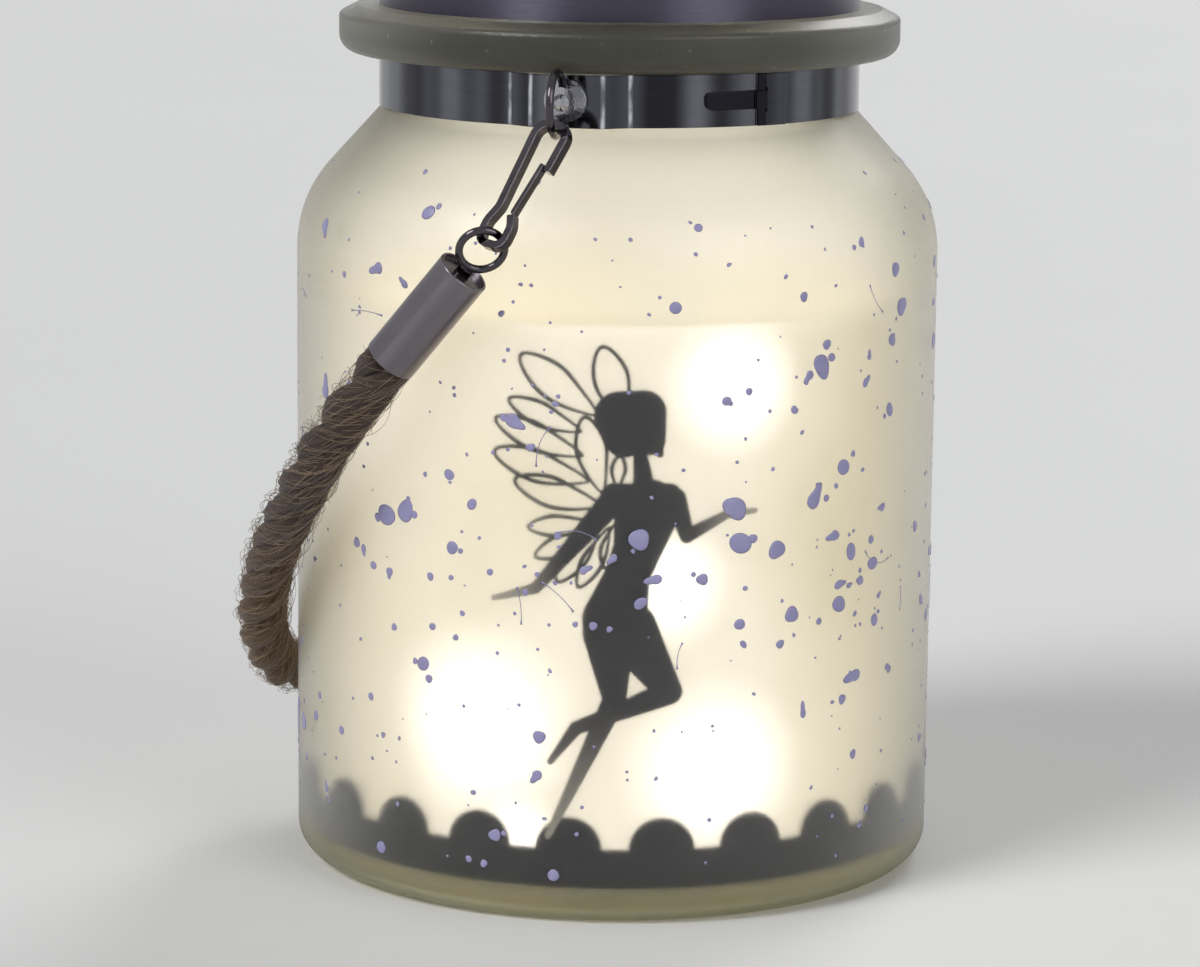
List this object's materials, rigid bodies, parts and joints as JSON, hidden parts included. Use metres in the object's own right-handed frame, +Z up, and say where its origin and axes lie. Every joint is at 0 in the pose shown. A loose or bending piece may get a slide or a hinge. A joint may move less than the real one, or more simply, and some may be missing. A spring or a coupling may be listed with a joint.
{
  "type": "mason jar lantern",
  "caption": "Frosted glass jar lantern with a lift-off solar lid, a string of warm lamps inside and a swinging rope handle on snap hooks.",
  "frame": {"origin": "middle of the jar's base, on the surface it stands on", "axes": "+Z up along the jar's axis, studs of the handle on the Y axis, front stud at -Y, handle hanging at -X"},
  "size_m": [0.1202, 0.1258, 0.163],
  "materials": {
    "frosted_glass": "frosted, violet flecks",
    "diffuser_film": "matte, translucent",
    "black_cutout": "matte",
    "bright_steel": "polished",
    "dark_nickel": "dark plated",
    "jute": "twisted rope",
    "brushed_lid": "brushed round",
    "black_plastic": "fine texture",
    "clear_seal": "soft, milky",
    "gloss_black": "polished",
    "solar_cells": "under clear resin",
    "cell_wrap": "shrink sleeve",
    "contact_metal": "plated",
    "board_laminate": "solder mask",
    "component_black": "moulded",
    "screw_steel": "zinc plated",
    "white_plastic": "moulded",
    "wire_lacquer": "clear lacquer over wire",
    "warm_lamp": "clear bead over lamp"
  },
  "bodies": {
    "jar": {"glass_jar": "frosted_glass", "film_liner": "diffuser_film", "winged_figure": "black_cutout", "scalloped_strip": "black_cutout", "neck_band": "bright_steel"},
    "handle": {"stud_front": "dark_nickel", "jump_ring_front": "dark_nickel", "snap_hook_front": "dark_nickel", "swivel_eye_front": "dark_nickel", "ferrule_front": "dark_nickel", "stud_back": "dark_nickel", "jump_ring_back": "dark_nickel", "snap_hook_back": "dark_nickel", "swivel_eye_back": "dark_nickel", "ferrule_back": "dark_nickel", "rope_handle": "jute"},
    "gate_front": {"hook_gate_front": "dark_nickel"},
    "gate_back": {"hook_gate_back": "dark_nickel"},
    "lid": {"lid_shell": "brushed_lid", "lid_housing": "black_plastic", "seal_ring": "clear_seal", "panel_bezel": "gloss_black", "solar_panel": "solar_cells", "rechargeable_cell": "cell_wrap", "contact_positive": "contact_metal", "contact_negative": "contact_metal", "circuit_board": "board_laminate", "board_parts": "component_black", "board_screws": "screw_steel", "bottom_cover": "black_plastic", "cover_screws": "screw_steel", "switch_body": "component_black", "wire_grommet": "clear_seal", "lamp_wire": "wire_lacquer", "lamp_beads": "warm_lamp"},
    "switch": {"switch_knob": "white_plastic"}
  },
  "joints": [
    {"name": "handle_swing", "type": "hinge", "parent": "jar", "child": "handle", "pos_m": [0, 0, 0.1345], "axis": [0, 1, 0], "range_deg": [0, 292]},
    {"name": "gate_front_press", "type": "hinge", "parent": "handle", "child": "gate_front", "pos_m": [-0.00481, -0.05845, 0.11779], "axis": [-0.2689, -0.8147, 0.5137], "range_deg": [0, 17], "stiffness_Nm_per_rad": 0.02, "springref_deg": -2.86},
    {"name": "gate_back_press", "type": "hinge", "parent": "handle", "child": "gate_back", "pos_m": [-0.00481, 0.05845, 0.11779], "axis": [0.2689, -0.8147, -0.5137], "range_deg": [0, 17], "stiffness_Nm_per_rad": 0.02, "springref_deg": -2.86},
    {"name": "lid_lift", "type": "slide", "parent": "jar", "child": "lid", "axis": [0, 0, 1], "range_m": [0, 0.15]},
    {"name": "switch_slide", "type": "slide", "parent": "lid", "child": "switch", "axis": [1, 0, 0], "range_m": [0, 0.003]}
  ]
}
